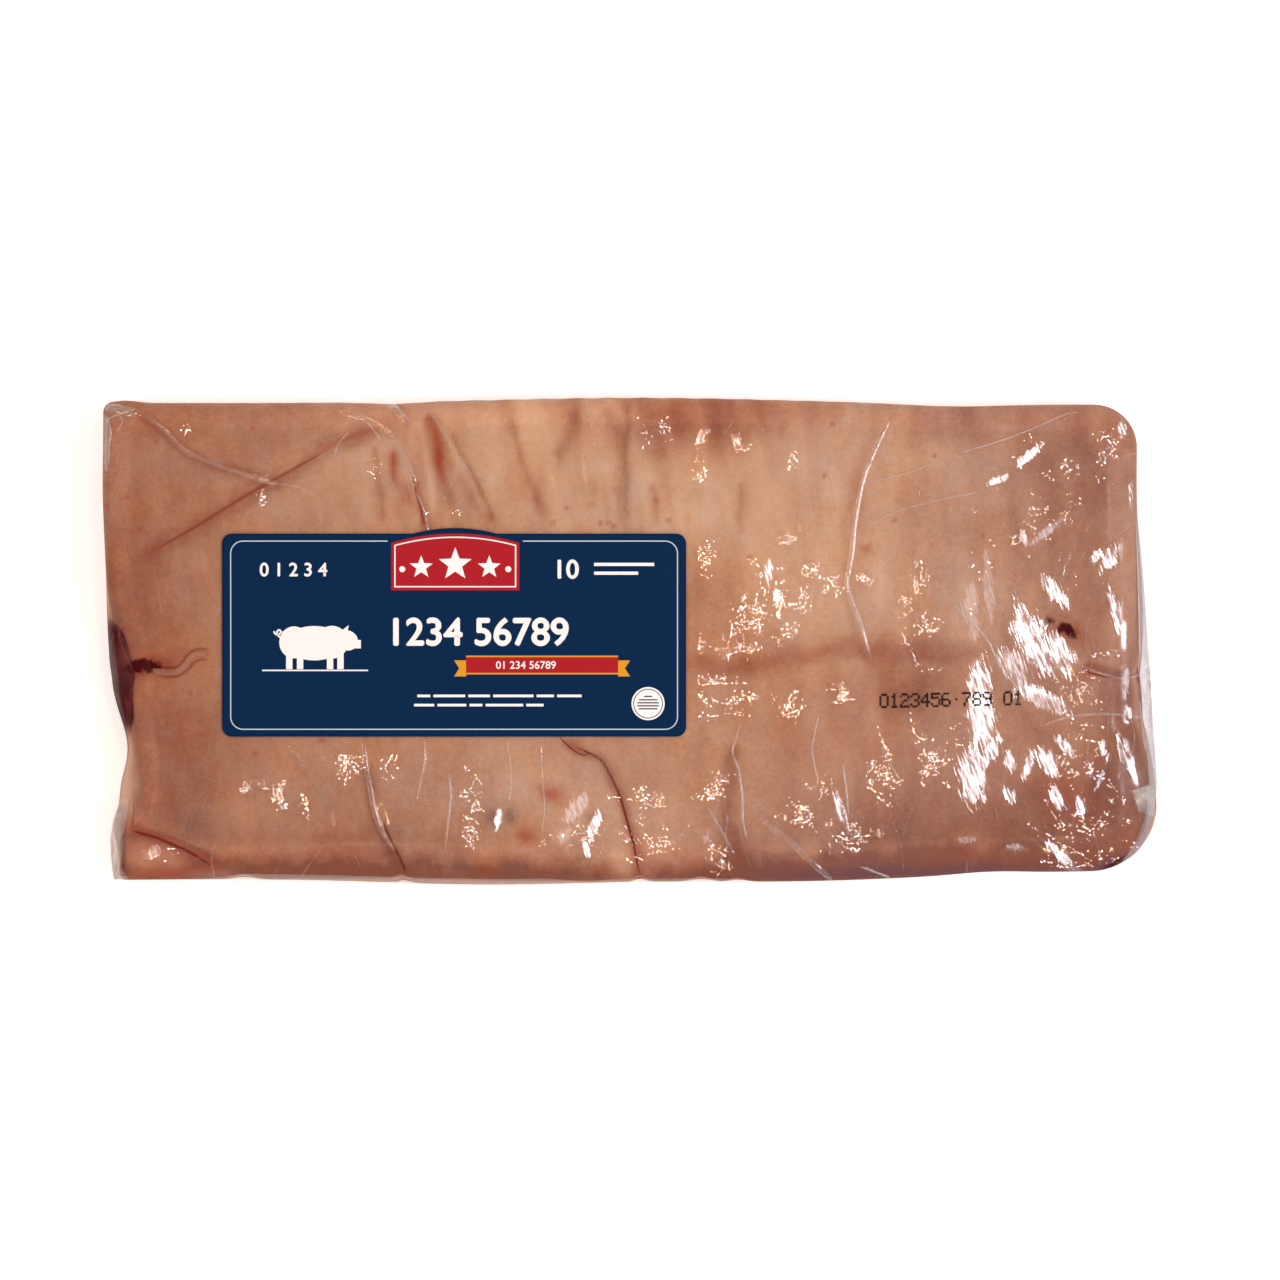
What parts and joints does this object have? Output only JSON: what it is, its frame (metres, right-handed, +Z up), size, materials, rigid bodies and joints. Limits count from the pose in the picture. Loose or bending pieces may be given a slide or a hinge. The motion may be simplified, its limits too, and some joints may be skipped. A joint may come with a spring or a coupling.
{
  "type": "pork belly slab",
  "caption": "Slab of pork belly, skin side up, sealed in clear shrink film with a printed front label; it lies flat on a counter, shelf or tray.",
  "frame": {"origin": "centre of the bounding box at the base, on the surface the pack lies on", "axes": "+X along the slab's length, +Y across its width towards the back edge, +Z up out of the skin side"},
  "size_m": [0.5292, 0.2448, 0.0403],
  "materials": {
    "belly_in_film": "pink-tan pork skin under clear glossy shrink film",
    "label_paper": "navy printed paper label, satin varnish"
  },
  "bodies": {
    "root": {"belly_slab": "belly_in_film", "label": "label_paper"}
  },
  "joints": []
}
